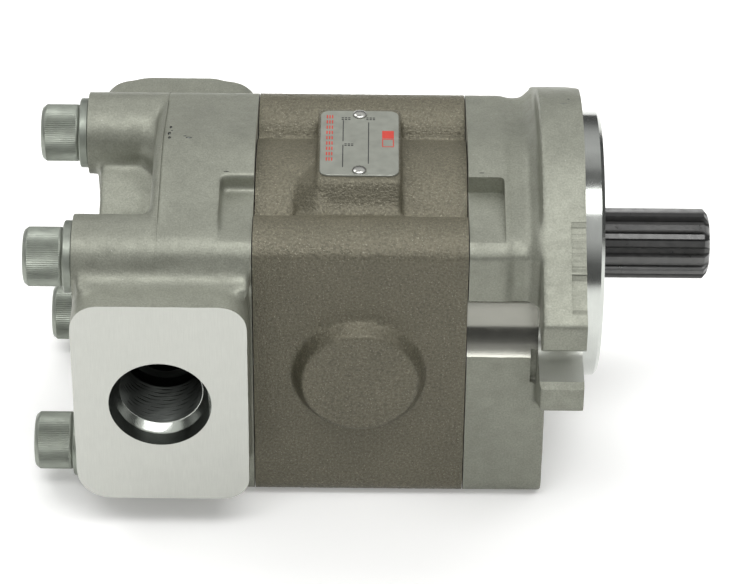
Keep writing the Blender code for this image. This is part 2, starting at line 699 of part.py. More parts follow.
def make_bush(name, side, z):
    low, high = block_span(side)
    inner = JOURNAL_RADIUS + 0.08 * MM
    inset = 0.5 * MM
    section = rectangle((low + inset, inner), (high - inset, BUSH_RADIUS))
    add_part(name, mesh_of(name, [lambda bm: add_ring(bm, section)]), "bronze_bush", BRONZE, (0, 0, z))


def make_pressure_seal(prefix, side):
    """The rubber seal in a block's outer face, and the nylon strip that backs it."""
    face = GEAR_MIDDLE_X + side * BLOCK_OUTER
    low, high = sorted((face - side * 1.6 * MM, face))
    for name, inner, outer, finish_name, finish in (
        ("pressure_seal", 17.9 * MM, 18.8 * MM, "seal_rubber", RUBBER),
        ("seal_backup", 18.95 * MM, 19.9 * MM, "backup_nylon", NYLON),
    ):
        ribbon = half_eight_ribbon(inner, outer)
        mesh = mesh_of(f"{prefix}_{name}", [prism_shape(ribbon, low, high)])
        add_part(f"{prefix}_{name}", mesh, finish_name, finish)


# Seals


def make_joint_seal(name, joint_x, side):
    """The racetrack O-ring in a cover's groove."""
    middle = joint_x + side * (GROOVE_DEPTH / 2)
    loops = []
    for k in range(8):
        turn = 2 * math.pi * k / 8
        reach = SEAL_LOOP + SEAL_SECTION * math.cos(turn)
        loops.append((middle + SEAL_SECTION * math.sin(turn), stadium(reach)))
    add_part(name, mesh_of(name, [lambda bm: add_loop(bm, loops)]), "seal_rubber", RUBBER)


def make_shaft_seal():
    """A rotary lip seal, open at the back, and its garter spring."""
    low = SEAL_BORE_X + FIT_GAP
    high = low + SEAL_WIDTH
    outer = SEAL_BORE - FIT_GAP
    lip = JOURNAL_RADIUS + 0.12 * MM
    section = [
        (high, outer),
        (low, outer),
        (low, outer - 1.6 * MM),
        (high - 1.8 * MM, outer - 2.2 * MM),
        (high - 1.8 * MM, lip + 2.6 * MM),
        (low + 3.2 * MM, lip + 1.3 * MM),
        (low + 0.9 * MM, lip + 1.9 * MM),
        (low + 0.9 * MM, lip + 0.9 * MM),
        (low + 2.2 * MM, lip),
        (high - 1 * MM, lip + 1 * MM),
        (high, lip + 0.6 * MM),
    ]
    at = (0, 0, SHAFT_Z)
    body = mesh_of("shaft_seal", [lambda bm: add_ring(bm, section, steps=40)])
    add_part("shaft_seal", body, "seal_rubber", RUBBER, at)
    spring_x, spring_radius, wire = low + 1.6 * MM, lip + 2.8 * MM, 0.6 * MM
    loop = [
        (spring_x + wire * math.cos(math.pi * k / 3), spring_radius + wire * math.sin(math.pi * k / 3))
        for k in range(6)
    ]
    mesh = mesh_of("seal_garter_spring", [lambda bm: add_ring(bm, loop, steps=24)])
    add_part("seal_garter_spring", mesh, "gear_steel", STEEL, at)


def make_circlip():
    """The ring that holds the shaft seal in, with its gap and two plier eyes at the top."""
    low, high = CIRCLIP_X, CIRCLIP_X + CIRCLIP_WIDTH
    outer, inner = SEAL_BORE + 1.1 * MM, SEAL_BORE - 1.9 * MM
    gap = 12
    outline = arc((0, 0), outer, 90 + gap, 450 - gap, 36) + arc((0, 0), inner, 450 - gap, 90 + gap, 36)
    at = (0, 0, SHAFT_Z)
    mesh = mesh_of("seal_circlip", [prism_shape(outline, low, high)])
    ring = add_part("seal_circlip", mesh, "gear_steel", STEEL, at)
    eye_radius = 2.1 * MM
    eye_at = inner - 0.6 * MM
    angles = [math.radians(90 + side * (gap + 6)) for side in (-1, 1)]
    places = [(eye_at * math.cos(a), eye_at * math.sin(a)) for a in angles]
    join(ring, "circlip_eyes", *hole_shapes(places, eye_radius, low, high, 14)).location = at
    eye_holes = hole_shapes(places, 1 * MM, low - 1 * MM, high + 1 * MM, 10)
    cut(ring, "circlip_eye_holes", *eye_holes).location = at


# Fasteners and nameplate


def bolt_mesh():
    """A socket-head cap screw along +X, with the underside of its head at the origin."""
    bevel = 1 * MM
    profile = [
        (-BOLT_HEAD_LENGTH, BOLT_HEAD_RADIUS - bevel),
        (-BOLT_HEAD_LENGTH + bevel, BOLT_HEAD_RADIUS),
        (0, BOLT_HEAD_RADIUS),
        (0, BOLT_RADIUS),
        (BOLT_SHANK_LENGTH - bevel, BOLT_RADIUS),
        (BOLT_SHANK_LENGTH, BOLT_RADIUS - bevel),
    ]
    return mesh_of("cover_bolt", [turned_shape(profile, steps=24)])


def cut_socket(bolt):
    """The hexagon socket in a bolt's head, pointed up."""
    across_corners = SOCKET_HALF / math.cos(math.pi / 6)
    hexagon = arc((0, 0), across_corners, 30, 330, 5)
    shape = prism_shape(hexagon, -BOLT_HEAD_LENGTH - 1 * MM, -BOLT_HEAD_LENGTH / 2)
    tool = cut(bolt, f"{bolt.name}_socket", shape)
    tool.location = bolt.location


def make_bolts_and_washers():
    """The four long screws that clamp the three castings together."""
    bolt = bolt_mesh()
    section = [
        (0, BOLT_RADIUS + 0.4 * MM),
        (0, WASHER_RADIUS),
        (-WASHER_WIDTH + 2 * JOINT_GAP, WASHER_RADIUS),
        (-WASHER_WIDTH + 2 * JOINT_GAP, BOLT_RADIUS + 0.4 * MM),
    ]
    washer = mesh_of("bolt_washer", [lambda bm: add_ring(bm, section, steps=28)])
    corners = ("upper_front", "upper_rear", "lower_front", "lower_rear")
    for corner, (y, z) in zip(corners, BOLT_PLACES):
        head_at = (COLUMN_END_X - WASHER_WIDTH, y, z)
        screw = add_part(f"cover_bolt_{corner}", bolt, "zinc_steel", ZINC, head_at)
        cut_socket(screw)
        at = (COLUMN_END_X - JOINT_GAP, y, z)
        add_part(f"bolt_washer_{corner}", washer, "zinc_steel", ZINC, at)


def make_dowels():
    """Two locating pins across each joint."""
    bevel = 0.6 * MM
    profile = [
        (-DOWEL_HALF, DOWEL_RADIUS - bevel),
        (-DOWEL_HALF + bevel, DOWEL_RADIUS),
        (DOWEL_HALF - bevel, DOWEL_RADIUS),
        (DOWEL_HALF, DOWEL_RADIUS - bevel),
    ]
    pin = mesh_of("dowel", [turned_shape(profile, steps=12)])
    for joint, x in (("front", FRONT_JOINT_X), ("rear", REAR_JOINT_X)):
        for side, (y, z) in zip(("suction", "pressure"), dowel_places()):
            add_part(f"{joint}_dowel_{side}", pin, "gear_steel", STEEL, (x, y, z))


def make_nameplate():
    """The thin plate on its pad, and the two drive pins that hold it."""
    low_z = PAD_TOP_Z + JOINT_GAP
    corner = (PLATE_HALF_X, PLATE_HALF_Y)
    outline = rounded_rectangle((-corner[0], -corner[1]), corner, [2.5 * MM] * 4)
    plate = add_part(
        "nameplate",
        mesh_of("nameplate", [prism_shape(outline, 0, PLATE_THICKNESS, "Z")]),
        "plate_aluminium",
        PLATE,
        (PLATE_X, 0, low_z),
    )
    shank, head = 1.2 * MM, 1.9 * MM
    top = PLATE_THICKNESS + 0.08 * MM
    places = [(0, side * RIVET_Y) for side in (-1, 1)]
    hole_profile = [(-1 * MM, shank + 0.1 * MM), (2 * MM, shank + 0.1 * MM)]
    holes = [turned_shape(hole_profile, place, 14, "Z") for place in places]
    cut(plate, "plate_holes", *holes).location = plate.location
    pad_hole = [(-6 * MM, shank + 0.1 * MM), (2 * MM, shank + 0.1 * MM)]
    housing = bpy.data.objects["gear_housing"]
    tool = cut(housing, "pad_rivet_holes", *[turned_shape(pad_hole, place, 14, "Z") for place in places])
    tool.location = plate.location
    profile = [
        (-5 * MM, shank * 0.7),
        (-4 * MM, shank),
        (top, shank),
        (top, head),
        (top + 0.5 * MM, head * 0.8),
        (top + 0.85 * MM, head * 0.35),
    ]
    rivet = mesh_of("nameplate_rivet", [turned_shape(profile, steps=16, axis="Z")])
    for name, (x, y) in zip(("front", "rear"), places):
        add_part(f"nameplate_rivet_{name}", rivet, "zinc_steel", ZINC, (PLATE_X + x, y, low_z))


def main():
    clear_scene()
    make_front_cover()
    make_gear_housing()
    make_rear_cover()
    make_drive_gear_shaft()
    make_driven_gear_shaft()
    for prefix, side, joint_x in (("front", 1, FRONT_JOINT_X), ("rear", -1, REAR_JOINT_X)):
        make_bearing_block(f"{prefix}_bearing_block", side)
        make_bush(f"drive_{prefix}_bush", side, SHAFT_Z)
        make_bush(f"driven_{prefix}_bush", side, DRIVEN_Z)
        make_pressure_seal(prefix, side)
        make_joint_seal(f"{prefix}_joint_seal", joint_x, side)
    make_shaft_seal()
    make_circlip()
    make_bolts_and_washers()
    make_dowels()
    make_nameplate()


main()
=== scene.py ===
"""Looks of the hydraulic gear pump: castings, fasteners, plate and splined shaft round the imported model.

Shapes are made in millimetres from the drive shaft's axis and the flange's mounting face. X runs along the
shaft towards its splined end, Z is up and -Y is the suction side. place() moves them into the model's frame.
"""

import json
import math

import bmesh
import bpy
import numpy as np
from mathutils import Matrix, Vector


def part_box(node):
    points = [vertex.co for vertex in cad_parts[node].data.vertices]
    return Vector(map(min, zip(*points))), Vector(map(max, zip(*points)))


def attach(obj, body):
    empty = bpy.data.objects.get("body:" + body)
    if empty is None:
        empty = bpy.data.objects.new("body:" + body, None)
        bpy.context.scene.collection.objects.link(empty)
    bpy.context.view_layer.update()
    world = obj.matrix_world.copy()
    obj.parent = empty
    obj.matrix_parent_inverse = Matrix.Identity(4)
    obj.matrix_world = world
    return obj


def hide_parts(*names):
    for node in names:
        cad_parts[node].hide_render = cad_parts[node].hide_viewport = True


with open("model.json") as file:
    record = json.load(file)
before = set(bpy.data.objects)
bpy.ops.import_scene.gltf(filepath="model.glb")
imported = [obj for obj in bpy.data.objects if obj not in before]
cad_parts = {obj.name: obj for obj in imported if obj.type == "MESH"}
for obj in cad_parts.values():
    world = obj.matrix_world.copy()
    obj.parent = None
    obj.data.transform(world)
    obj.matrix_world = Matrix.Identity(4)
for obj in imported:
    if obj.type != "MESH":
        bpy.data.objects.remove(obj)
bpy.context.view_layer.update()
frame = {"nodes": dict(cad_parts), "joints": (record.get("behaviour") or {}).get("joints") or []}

MM = 0.001
PILOT_LENGTH = 6.35
AXIS = {joint["name"]: Vector(joint["pos_m"]) for joint in frame["joints"]}
MOUNTING_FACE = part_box("front_cover")[1].x - PILOT_LENGTH * MM
ORIGIN = Vector((MOUNTING_FACE, 0, AXIS["drive_spin"].z))
TO_FRAME = Matrix.Translation(ORIGIN) @ Matrix.Scale(MM, 4)
BODY = "pump_body"

# Shaft line and castings, in millimetres
DRIVEN_Z = -37
MIDDLE_Z = DRIVEN_Z / 2
BASE_Z = -67
FRONT_JOINT = -34.5
REAR_JOINT = -99.5
FLANGE_BACK = -13.3
SLAB_REAR = -130.6
COLUMN_REAR = -153.1
SIDE_Y = 44
LOBE_RADIUS = 13
BOLT_Y, UPPER_BOLT_Z, LOWER_BOLT_Z = 33.5, 17, -54
BOLT_PLACES = [(y, z) for z in (UPPER_BOLT_Z, LOWER_BOLT_Z) for y in (-BOLT_Y, BOLT_Y)]
BOLT_NAMES = ["upper_front", "upper_rear", "lower_front", "lower_rear"]
SLOT_Y = 53.2
PORT_X = -126.9
INLET_FACE = -60
OUTLET_FACE = 63
BORE_RADIUS = 21.7
HOLE_RADIUS = 6.6
PILOT_RADIUS = 41.275
JOURNAL_RADIUS = 11
GALLERY_Y, GALLERY_RADIUS = 16, 7.5
CENTRE_DISTANCE = -DRIVEN_Z
GEAR_TEETH, GEAR_LOW, GEAR_HIGH = 12, -82, -52
SPLINE_TEETH, SPLINE_OUTER, SPLINE_ROOT = 13, 10.9, 9.3
PLATE_HALF_X, PLATE_HALF_Y, PLATE_TOP, RIVET_Y = 12, 17.6, 0.7, 15.2
NAMEPLATE_AT = (-67.65, 0, 36.1)

# Material slots of a casting's cut faces. Slot 0 is its skin. The bore slot holds near-black painted shade
CUT_FLAT, CUT_BORE_SHADE, CUT_CHANNEL, CUT_TURNED = 1, 2, 3, 4

# Ports: side, face, and the radii of the mouth, the thread and the drilling
PORTS = [(-1, INLET_FACE, 15.5, 12.3, 9.2), (1, OUTLET_FACE, 12.9, 10.0, 8.0)]

# Pits in the skin: X, Y, Z, half width and half length. They are darkened with painted shade
REAR_PITS = [(-125.9, 10.9, 34.7, 0.9, 0.4), (-125.4, 8.4, 35.2, 0.5, 0.35), (-126.1, 6.2, 35.6, 1.2, 0.5)]
REAR_PITS += [(-125.9, 3.2, 36, 0.8, 0.45), (-121.2, 4.3, 35.85, 0.4, 0.5), (-119.9, 3.3, 36, 0.55, 1)]
REAR_PITS += [(-108, -12.5, 34.1, 0.2, 1.1)]
FRONT_PITS = [(-5.5, 6.2, 47.7, 0.2, 1.9), (-3.9, 9.5, 47.1, 0.3, 0.4), (-30.5, -12.2, 34.2, 0.2, 0.9)]


# Outlines


def arc(centre, radius, start, end, steps):
    angles = [math.radians(start + (end - start) * i / steps) for i in range(steps + 1)]
    return [(centre[0] + radius * math.cos(a), centre[1] + radius * math.sin(a)) for a in angles]


def circle(centre, radius, steps):
    return arc(centre, radius, 0, 360 * (steps - 1) / steps, steps - 1)


def mirrored(points):
    return [(-a, b) for a, b in reversed(points)]


def rounded_rectangle(low, high, radii, steps=8):
    """Corner radii in the order low-low, high-low, high-high, low-high."""
    corners = [
        ((low[0] + radii[0], low[1] + radii[0]), radii[0], 180),
        ((high[0] - radii[1], low[1] + radii[1]), radii[1], 270),
        ((high[0] - radii[2], high[1] - radii[2]), radii[2], 0),
        ((low[0] + radii[3], high[1] - radii[3]), radii[3], 90),
    ]
    return [p for centre, radius, start in corners for p in arc(centre, radius, start, start + 90, steps)]


def tangent_angle(near, near_radius, far, far_radius):
    dy, dz = far[0] - near[0], far[1] - near[1]
    lean = math.acos((near_radius - far_radius) / math.hypot(dy, dz))
    return math.degrees(math.atan2(dz, dy) + lean)


def side_and_lobe(side, radius, end, steps):
    """From the foot up a casting's flat side and round its upper bolt's lobe."""
    foot = arc((side - 6, BASE_Z + 6), 6, 270, 360, 8)
    start = math.degrees(math.acos((side - BOLT_Y) / radius))
    return foot + arc((BOLT_Y, UPPER_BOLT_Z), radius, start, end, steps)


def cover_outline(inset=0):
    """A cover's outline, with a straight run from its arch to each bolt lobe."""
    lobe, arch_radius, lobe_radius = (BOLT_Y, UPPER_BOLT_Z), 36 - inset, LOBE_RADIUS - inset
    touching = tangent_angle((0, 0), arch_radius, lobe, lobe_radius)
    half = side_and_lobe(SIDE_Y - inset, lobe_radius, touching, 16)
    half += arc((0, 0), arch_radius, touching, 90, 12)
    return half + mirrored(half[:-1])


def housing_outline():
    """The gear housing's outline, whose arch and lobes meet in a valley."""
    arch_radius, apart = 31.5, math.hypot(BOLT_Y, UPPER_BOLT_Z)
    along = (arch_radius**2 - LOBE_RADIUS**2 + apart**2) / (2 * apart)
    lean = math.degrees(math.atan2(UPPER_BOLT_Z, BOLT_Y))
    on_arch = lean + math.degrees(math.acos(along / arch_radius))
    valley = (arch_radius * math.cos(math.radians(on_arch)), arch_radius * math.sin(math.radians(on_arch)))
    on_lobe = math.degrees(math.atan2(valley[1] - UPPER_BOLT_Z, valley[0] - BOLT_Y))
    half = side_and_lobe(SIDE_Y, LOBE_RADIUS, on_lobe, 20) + arc((0, 0), arch_radius, on_arch, 90, 16)[1:]
    return half + mirrored(half[:-1])


def flange_outline():
    corner, radius = (64, 15), 48
    touching = tangent_angle((0, 0), radius, corner, 1)
    quarter = arc(corner, 1, 0, touching, 4) + arc((0, 0), radius, touching, 90, 16)
    upper = quarter + mirrored(quarter[:-1])
    return upper + [(-y, -z) for y, z in upper]


def figure_eight(radius, steps=48):
    reach = math.degrees(math.asin(-MIDDLE_Z / radius))
    lower = arc((0, DRIVEN_Z), radius, 180 - reach, 360 + reach, steps)
    return arc((0, 0), radius, -reach, 180 + reach, steps) + lower


def toothed_outline(teeth, module, pressure, outer, root, thinning, turn, steps):
    """Involute teeth, with one tooth's middle at the angle turn, in degrees."""
    pitch = teeth * module / 2
    base = pitch * math.cos(math.radians(pressure))
    low = max(root, base)
    radii = ([root] if root < base else []) + [low + (outer - low) * i / steps for i in range(steps + 1)]

    def half_angle(radius):
        here, rolled = math.acos(min(1, base / radius)), math.radians(pressure)
        at_pitch = (math.pi * module / 2 - thinning) / (2 * pitch)
        return at_pitch + math.tan(rolled) - rolled - math.tan(here) + here

    points = []
    for tooth in range(teeth):
        middle = math.radians(turn) + 2 * math.pi * tooth / teeth
        flanks = [(r, middle - half_angle(r)) for r in radii]
        flanks += [(r, middle + half_angle(r)) for r in radii[::-1]]
        points += [(r * math.cos(a), r * math.sin(a)) for r, a in flanks]
    return points


# Closed shapes. Each function returns one that adds itself to a bmesh, with a material index on its faces.


def in_space(axis, along, a, b):
    return {"X": (along, a, b), "Y": (a, along, b), "Z": (a, b, along)}[axis]


def tube(loops, index=0):
    """A solid through closed loops of points in space, capped at both ends."""

    def add(bm):
        rings = [[bm.verts.new(point) for point in loop] for loop in loops]
        faces = [
            bm.faces.new((near[i - 1], near[i], far[i], far[i - 1]))
            for near, far in zip(rings, rings[1:])
            for i in range(len(near))
        ]
        for face in faces + [bm.faces.new(rings[0]), bm.faces.new(rings[-1])]:
            face.material_index = index

    return add


def loft(sections, axis="X", index=0):
    """A solid through outlines with as many points each, given as (distance, outline)."""
    return tube([[in_space(axis, x, a, b) for a, b in outline] for x, outline in sections], index)


def prism(outline, low, high, axis="X", index=0):
    return loft([(low, outline), (high, outline)], axis, index)


def turned(profile, centre=(0, 0), steps=64, axis="X", index=0):
    return loft([(x, circle(centre, radius, steps)) for x, radius in profile], axis, index)


def ring(profile, steps=64):
    """A ring-shaped solid along X. The profile goes round its closed section."""

    def add(bm):
        rings = [[bm.verts.new((x, y, z)) for y, z in circle((0, 0), radius, steps)] for x, radius in profile]
        for k in range(len(rings)):
            near, far = rings[k - 1], rings[k]
            for i in range(len(near)):
                bm.faces.new((near[i - 1], near[i], far[i], far[i - 1]))

    return add


def rippled(rows, centre=(0, 0), steps=64, axis="X", index=0):
    """A turned solid whose radius depends on the angle. The rows are (distance, function of the angle)."""
    angles = [2 * math.pi * i / steps for i in range(steps)]
    sections = []
    for x, radius_at in rows:
        polar = [(radius_at(a), a) for a in angles]
        points = [(centre[0] + r * math.cos(a), centre[1] + r * math.sin(a)) for r, a in polar]
        sections.append((x, points))
    return loft(sections, axis, index)


def hull(points):
    def add(bm):
        made = bmesh.ops.convex_hull(bm, input=[bm.verts.new(point) for point in points])
        inside = [g for g in made["geom_interior"] if isinstance(g, bmesh.types.BMVert)]
        bmesh.ops.delete(bm, geom=inside, context="VERTS")

    return add


# Working objects and finished pieces


def solid(name, shapes):
    bm = bmesh.new()
    for shape in shapes:
        shape(bm)
    bmesh.ops.recalc_face_normals(bm, faces=bm.faces)
    mesh = bpy.data.meshes.new(name)
    bm.to_mesh(mesh)
    bm.free()
    made = bpy.data.objects.new(name, mesh)
    bpy.context.scene.collection.objects.link(made)
    return made


def remesh(piece, voxel):
    modifier = piece.modifiers.new("even", "REMESH")
    modifier.mode = "VOXEL"
    modifier.voxel_size = voxel


def smooth(piece, iterations):
    modifier = piece.modifiers.new("soft", "SMOOTH")
    modifier.factor = 0.5
    modifier.iterations = iterations


def roughen(piece, name, size, height):
    """Uneven skin of a casting, as real relief."""
    texture = bpy.data.textures.new(name, "CLOUDS")
    texture.noise_scale = size
    texture.noise_depth = 3
    modifier = piece.modifiers.new("skin", "DISPLACE")
    modifier.texture = texture
    modifier.strength = height
    modifier.mid_level = 0.5


def combine(piece, operation, shapes, tools):
    tool = solid("tool", shapes)
    modifier = piece.modifiers.new("shape", "BOOLEAN")
    modifier.operation = operation
    modifier.object = tool
    modifier.material_mode = "INDEX"
    tools.append(tool)


def baked(piece, tools=()):
    """The piece's mesh with its modifiers applied. The piece and its tools are removed."""
    bpy.context.view_layer.update()
    depsgraph = bpy.context.evaluated_depsgraph_get()
    mesh = bpy.data.meshes.new_from_object(piece.evaluated_get(depsgraph))
    for used in [piece, *tools]:
        data = used.data
        bpy.data.objects.remove(used)
        bpy.data.meshes.remove(data)
    return mesh


def make_mesh(name, shapes, *operations):
    """A mesh from shapes joined and cut by (operation, shapes) pairs."""
    piece, tools = solid(name, shapes), []
    for operation, tool_shapes in operations:
        combine(piece, operation, tool_shapes, tools)
    return baked(piece, tools)


def place(name, mesh, materials, node, body=BODY, at=(0, 0, 0), angle=32):
    """Adds a finished piece, made in millimetres about the point at, in the place of a CAD node."""
    mesh.transform(TO_FRAME @ Matrix.Translation(at))
    for material in materials[len(mesh.materials) :]:
        mesh.materials.append(material)
    mesh.shade_smooth()
    mesh.set_sharp_from_angle(angle=math.radians(angle))
    mesh.name = name
    piece = bpy.data.objects.new(name, mesh)
    bpy.context.scene.collection.objects.link(piece)
    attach(piece, body)
    if node:
        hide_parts(node)
    return piece


# Materials


class Shader:
    """A Principled material and short ways to add nodes to it."""

    def __init__(self, name, **values):
        self.material = bpy.data.materials.new(name)
        self.material.use_nodes = True
        self.tree = self.material.node_tree
        self.surface = self.tree.nodes["Principled BSDF"]
        self.coordinates = self.tree.nodes.new("ShaderNodeTexCoord").outputs["Object"]
        for key, value in values.items():
            self.surface.inputs[key.replace("_", " ")].default_value = value

    def add(self, kind, inputs=(), **settings):
        node = self.tree.nodes.new(kind)
        for key, value in settings.items():
            setattr(node, key, value)
        for key, value in dict(inputs).items():
            if isinstance(value, bpy.types.NodeSocket):
                self.tree.links.new(value, node.inputs[key])
            else:
                node.inputs[key].default_value = value
        return node

    def stretched(self, scale):
        return self.add("ShaderNodeMapping", {"Vector": self.coordinates, "Scale": scale}).outputs[0]

    def noise(self, size_mm, detail=3, roughness=0.55, vector=None):
        """Noise with features of about this size."""
        inputs = {"Vector": vector or self.coordinates, "Scale": 1000 / size_mm, "Detail": detail}
        return self.add("ShaderNodeTexNoise", {**inputs, "Roughness": roughness}).outputs["Fac"]

    def ramp(self, factor, stops):
        node = self.add("ShaderNodeValToRGB", {"Fac": factor})
        elements = node.color_ramp.elements
        while len(elements) < len(stops):
            elements.new(0.5)
        for element, (position, colour) in zip(elements, stops):
            element.position = position
            element.color = (*colour, 1) if isinstance(colour, tuple) else (colour, colour, colour, 1)
        return node.outputs["Color"]

    def mix(self, a, b, factor, blend="MIX"):
        node = self.add("ShaderNodeMix", data_type="RGBA", blend_type=blend)
        for socket, value in ((node.inputs[0], factor), (node.inputs[6], a), (node.inputs[7], b)):
            if isinstance(value, bpy.types.NodeSocket):
                self.tree.links.new(value, socket)
            elif isinstance(value, tuple):
                socket.default_value = (*value, 1)
            else:
                socket.default_value = value
        return node.outputs[2]

    def relief(self, height, depth_mm, strength=1.0, under=None):
        inputs = {"Height": height, "Distance": depth_mm * MM, "Strength": strength}
        if under is not None:
            inputs["Normal"] = under
        return self.add("ShaderNodeBump", inputs).outputs["Normal"]

    def set(self, **sockets):
        for key, socket in sockets.items():
            self.tree.links.new(socket, self.surface.inputs[key.replace("_", " ")])
        return self.material


def cast_alloy(name, dark, light, stain):
    """Blasted die-cast aluminium: an even grain with bright specks, and faint flow marks and stains."""
    shader = Shader(name, Metallic=0.55)
    flow = shader.noise(26, 3, 0.5, shader.stretched((1, 1, 1.6)))
    speck = shader.noise(0.55, 2, 0.7)
    colour = shader.ramp(flow, [(0.34, dark), (0.66, light)])
    mottle = shader.ramp(shader.noise(4, 5, 0.65), [(0.36, 0.93), (0.62, 1.04)])
    colour = shader.mix(colour, mottle, 0.8, "MULTIPLY")
    colour = shader.mix(colour, shader.ramp(speck, [(0.3, 0.78), (0.66, 1.18)]), 0.65, "MULTIPLY")
    bright = shader.ramp(shader.noise(0.8, 2, 0.8), [(0.70, 0.0), (0.76, 0.7)])
    colour = shader.mix(colour, (0.55, 0.55, 0.5), bright)
    blots = shader.ramp(shader.noise(8, 6, 0.75), [(0.25, 0.75), (0.31, 0.0)])
    colour = shader.mix(colour, stain, blots)
    rough = shader.ramp(shader.noise(3.5, 4, 0.6), [(0.3, 0.42), (0.7, 0.54)])
    normal = shader.relief(shader.noise(0.5, 3, 0.7), 0.08, 0.9)
    normal = shader.relief(shader.noise(1.4, 3, 0.5), 0.07, 0.5, normal)
    return shader.set(Base_Color=colour, Roughness=rough, Normal=normal)


def sand_cast(name):
    """The gear housing's brown-grey skin: a fine coarse grain, with painted glints, bright specks painted
    into the colour in place of light caught by the grains.
    """
    shader = Shader(name, Metallic=0.45)
    grain = shader.noise(0.8, 3, 0.65)
    fine = shader.noise(0.42, 2, 0.6)
    colour = shader.ramp(grain, [(0.34, (0.124, 0.116, 0.083)), (0.66, (0.212, 0.197, 0.142))])
    broad = shader.ramp(shader.noise(16, 4, 0.6), [(0.3, 0.90), (0.7, 1.08)])
    colour = shader.mix(colour, broad, 0.8, "MULTIPLY")
    # Painted glints: random bright specks mixed into the base colour as sparkle of light
    painted_glints = shader.ramp(fine, [(0.61, 0.0), (0.73, 0.8)])
    colour = shader.mix(colour, (0.42, 0.40, 0.31), painted_glints)
    rough = shader.ramp(fine, [(0.3, 0.54), (0.7, 0.32)])
    normal = shader.relief(grain, 0.34, 0.95)
    normal = shader.relief(fine, 0.12, 0.9, normal)
    return shader.set(Base_Color=colour, Roughness=rough, Normal=normal)


def machined(name, colour, rough, stretch=(1, 1, 1), lines=0.25, metallic=0.9):
    """A cut or turned face. The stretch draws out the tool marks."""
    shader = Shader(name, Metallic=metallic)
    marks = shader.noise(lines, 2, 0.5, shader.stretched(stretch))
    haze = shader.noise(9, 4, 0.6)
    tone = shader.mix(colour, shader.ramp(haze, [(0.3, 0.9), (0.7, 1.04)]), 0.7, "MULTIPLY")
    tone = shader.mix(tone, shader.ramp(marks, [(0.3, 0.92), (0.7, 1.05)]), 0.5, "MULTIPLY")
    roughness = shader.ramp(haze, [(0.3, rough * 0.85), (0.7, rough * 1.2)])
    normal = shader.relief(marks, 0.012, 0.6)
    return shader.set(Base_Color=tone, Roughness=roughness, Normal=normal)


def plain(name, colour, rough, metallic):
    """A finish with a faint grain and slight changes of tone."""
    shader = Shader(name, Metallic=metallic)
    tone = shader.mix(colour, shader.ramp(shader.noise(3, 4), [(0.3, 0.82), (0.7, 1.1)]), 0.7, "MULTIPLY")
    roughness = shader.ramp(shader.noise(1.5, 3), [(0.3, rough * 0.8), (0.7, rough * 1.25)])
    normal = shader.relief(shader.noise(0.4, 2), 0.01)
    return shader.set(Base_Color=tone, Roughness=roughness, Normal=normal)


COVER = cast_alloy("cover_cast", (0.272, 0.280, 0.232), (0.312, 0.321, 0.267), (0.14, 0.14, 0.115))
HOUSING = sand_cast("housing_cast")
MILLED = machined("milled_face", (0.56, 0.57, 0.53), 0.42, (1, 1, 0.05), 0.3)
TURNED = machined("turned_face", (0.56, 0.58, 0.55), 0.15, (1, 0.02, 0.02), 0.12, 1.0)
# Bore walls: near-black painted shade inside the ports, holes, bores and pits, not the metal's own colour
BORED_SHADE = machined("bored_wall_painted_shade", (0.10, 0.107, 0.10), 0.36, (1, 1, 1), 0.4, 1.0)
FORMED = machined("formed_channel", (0.30, 0.30, 0.265), 0.2, (0.05, 1, 1), 0.3)
IRON_CUT = machined("cut_iron", (0.30, 0.29, 0.27), 0.35, (1, 1, 1), 0.4)
SHAFT_STEEL = plain("shaft_steel", (0.115, 0.115, 0.113), 0.34, 1.0)
GROUND_STEEL = plain("ground_steel", (0.42, 0.42, 0.41), 0.22, 1.0)
ZINC = plain("zinc_plate", (0.33, 0.355, 0.31), 0.45, 0.8)
RIVET = plain("rivet_steel", (0.62, 0.62, 0.58), 0.24, 1.0)
BRONZE = plain("bronze", (0.50, 0.33, 0.16), 0.3, 1.0)
BLOCK_ALLOY = machined("block_alloy", (0.60, 0.60, 0.58), 0.3, (1, 0.05, 0.05), 0.2)
RUBBER = plain("seal_rubber", (0.018, 0.018, 0.018), 0.55, 0.0)
NYLON = plain("backup_nylon", (0.66, 0.62, 0.50), 0.5, 0.0)
PLATE = plain("plate_alloy", (0.30, 0.31, 0.27), 0.42, 0.4)
PRINT_BLACK = plain("print_black", (0.03, 0.03, 0.03), 0.6, 0.0)
PRINT_RED = plain("print_red", (0.50, 0.05, 0.035), 0.5, 0.0)

# The covers' materials in the order of their slots
CUT_COVER = [COVER, MILLED, BORED_SHADE, FORMED, TURNED]


# Castings


def bolt_holes(low, high, steps=32):
    profile = [(low, HOLE_RADIUS), (high, HOLE_RADIUS)]
    return [turned(profile, centre, steps, "X", CUT_BORE_SHADE) for centre in BOLT_PLACES]


def kept_between(low, high):
    """The room between two milled faces across X."""
    return prism(rounded_rectangle((-80, -90), (80, 70), (1,) * 4, 2), low, high, "X", CUT_FLAT)


def column_fillet(centre):
    """The hollow blend from a bolt column to the slab, on the column's inner side only."""
    inward = math.atan2(MIDDLE_Z - centre[1], -centre[0])
    reach, steps = 5.5, 6

    def row(x, width):
        def radius_at(angle):
            share = min(1, max(0, 0.25 + 1.2 * math.cos(angle - inward)))
            return LOBE_RADIUS - 0.5 + width * share * share * (3 - 2 * share)

        return (x, radius_at)

    rows = [row(SLAB_REAR + 3, reach)]
    for k in range(1, steps):
        angle = math.radians(90 * k / steps)
        rows.append(row(SLAB_REAR - reach * math.sin(angle), reach * (1 - math.cos(angle - math.pi / 2))))
    rows.append(row(SLAB_REAR - reach, 0))
    return rippled(rows, centre, 72)


